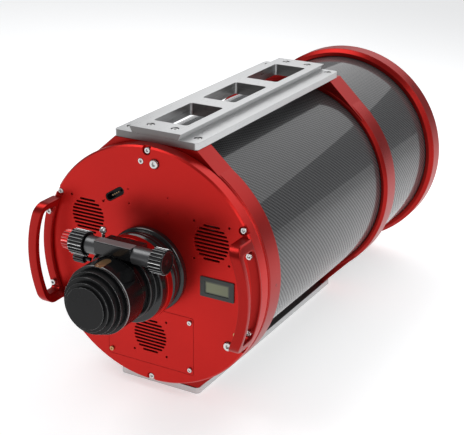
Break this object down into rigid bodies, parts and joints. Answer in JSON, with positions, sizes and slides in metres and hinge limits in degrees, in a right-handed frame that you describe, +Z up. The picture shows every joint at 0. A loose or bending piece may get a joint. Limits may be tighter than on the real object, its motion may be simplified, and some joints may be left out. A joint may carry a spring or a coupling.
{
  "type": "astrograph telescope",
  "caption": "Astrograph optical tube: carbon-fibre tube in red anodised rings, dovetail rail on top, fan-cooled back plate, rack-and-pinion focuser with dust cap, and carrying handles.",
  "frame": {"origin": "middle of the underside of the bounding box, on the surface that the bottom rail stands on", "axes": "+Y along the optical axis towards the open front end, +Z up, +X to the right when looking along +Y"},
  "size_m": [0.33, 0.76, 0.3563],
  "materials": {
    "red_anodised": "satin red anodised",
    "machined_aluminium": "bright machined satin",
    "carbon_fibre": "woven carbon fibre under glossy clear coat",
    "black_anodised": "glossy black anodised",
    "black_plastic": "satin moulded",
    "stainless_steel": "bright",
    "brass": "satin",
    "mirror_coating": "mirror",
    "lens_glass": "coated",
    "display_glass": "gloss over an unlit grey-green display",
    "flat_black": "matte black paint"
  },
  "bodies": {
    "tube_assembly": {"access_panel": "red_anodised", "back_plate": "red_anodised", "baffle_tube": "flat_black", "bottom_rail": "machined_aluminium", "carbon_tube": "carbon_fibre", "display_bezel": "black_plastic", "display_window": "display_glass", "fan_frame_1": "black_plastic", "fan_frame_2": "black_plastic", "fan_frame_3": "black_plastic", "focuser_flange": "black_anodised", "focuser_rotator": "red_anodised", "front_ring": "red_anodised", "handle_left": "red_anodised", "handle_right": "red_anodised", "handle_screw_1": "stainless_steel", "handle_screw_2": "stainless_steel", "handle_screw_3": "stainless_steel", "handle_screw_4": "stainless_steel", "middle_ring": "red_anodised", "mirror_cell": "black_anodised", "panel_screw_1": "stainless_steel", "panel_screw_2": "stainless_steel", "panel_screw_3": "stainless_steel", "panel_screw_4": "stainless_steel", "power_socket": "black_plastic", "primary_mirror": "mirror_coating", "rear_cell_ring": "red_anodised", "rim_screw_1": "stainless_steel", "rim_screw_2": "stainless_steel", "rim_screw_3": "stainless_steel", "rim_screw_4": "stainless_steel", "rim_screw_5": "stainless_steel", "rim_screw_6": "stainless_steel", "secondary_holder": "black_anodised", "secondary_mirror": "mirror_coating", "spider": "flat_black", "spider_ring": "black_anodised", "top_rail": "machined_aluminium"},
    "focuser": {"focuser_body": "black_anodised", "pinion_housing": "black_anodised"},
    "drawtube": {"drawtube": "black_anodised", "drawtube_rack": "stainless_steel", "eyepiece_adapter": "black_anodised", "clamp_strip": "brass", "corrector_lens": "lens_glass"},
    "cap": {"dust_cap": "black_plastic"},
    "pinion": {"pinion_shaft": "stainless_steel", "coarse_knob_left": "black_anodised", "coarse_knob_right": "black_anodised"},
    "fine_knob": {"fine_knob": "red_anodised"},
    "lock_screw": {"lock_thumbscrew": "stainless_steel"},
    "tension_knob": {"tension_knob": "black_anodised"},
    "collimation_1": {"collimation_screw_1": "stainless_steel"},
    "collimation_2": {"collimation_screw_2": "stainless_steel"},
    "collimation_3": {"collimation_screw_3": "stainless_steel"},
    "fan_1": {"fan_rotor_1": "black_plastic"},
    "fan_2": {"fan_rotor_2": "black_plastic"},
    "fan_3": {"fan_rotor_3": "black_plastic"}
  },
  "joints": [
    {"name": "focuser_rotation", "type": "hinge", "parent": "tube_assembly", "child": "focuser", "pos_m": [0, -0.2915, 0.1773], "axis": [0, 1, 0], "range_deg": [-180, 180]},
    {"name": "focus_slide", "type": "slide", "parent": "focuser", "child": "drawtube", "axis": [0, -1, 0], "range_m": [0, 0.03]},
    {"name": "cap_pull", "type": "slide", "parent": "drawtube", "child": "cap", "axis": [0, -1, 0], "range_m": [0, 0.06]},
    {"name": "pinion_turn", "type": "hinge", "parent": "focuser", "child": "pinion", "pos_m": [0, -0.3095, 0.2263], "axis": [1, 0, 0], "range_deg": [-315, 0]},
    {"name": "fine_focus_turn", "type": "hinge", "parent": "focuser", "child": "fine_knob", "pos_m": [-0.072, -0.3095, 0.2263], "axis": [1, 0, 0], "range_deg": [-3150, 0]},
    {"name": "lock_screw_turn", "type": "hinge", "parent": "focuser", "child": "lock_screw", "pos_m": [-0.033, -0.2915, 0.2333], "axis": [0, 0, 1], "range_deg": [0, 360]},
    {"name": "tension_turn", "type": "hinge", "parent": "focuser", "child": "tension_knob", "pos_m": [-0.06, -0.3015, 0.2013], "axis": [1, 0, 0], "range_deg": [-180, 180]},
    {"name": "collimation_turn_1", "type": "hinge", "parent": "tube_assembly", "child": "collimation_1", "pos_m": [0.01172, -0.2415, 0.31982], "axis": [0, 1, 0], "range_deg": [-180, 180]},
    {"name": "collimation_turn_2", "type": "hinge", "parent": "tube_assembly", "child": "collimation_2", "pos_m": [0.11757, -0.2415, 0.09589], "axis": [0, 1, 0], "range_deg": [-180, 180]},
    {"name": "collimation_turn_3", "type": "hinge", "parent": "tube_assembly", "child": "collimation_3", "pos_m": [-0.12928, -0.2415, 0.11619], "axis": [0, 1, 0], "range_deg": [-180, 180]},
    {"name": "fan_spin_1", "type": "hinge", "parent": "tube_assembly", "child": "fan_1", "pos_m": [-0.09266, -0.2315, 0.2308], "axis": [0, 1, 0], "continuous": true},
    {"name": "fan_spin_2", "type": "hinge", "parent": "tube_assembly", "child": "fan_2", "pos_m": [0.09266, -0.2315, 0.2308], "axis": [0, 1, 0], "continuous": true},
    {"name": "fan_spin_3", "type": "hinge", "parent": "tube_assembly", "child": "fan_3", "pos_m": [0, -0.2315, 0.0803], "axis": [0, 1, 0], "continuous": true}
  ],
  "couplings": [
    {"joint": "pinion_turn", "follows": "focus_slide", "rad_per_m": -181.82},
    {"joint": "fine_focus_turn", "follows": "focus_slide", "rad_per_m": -1818.2}
  ]
}
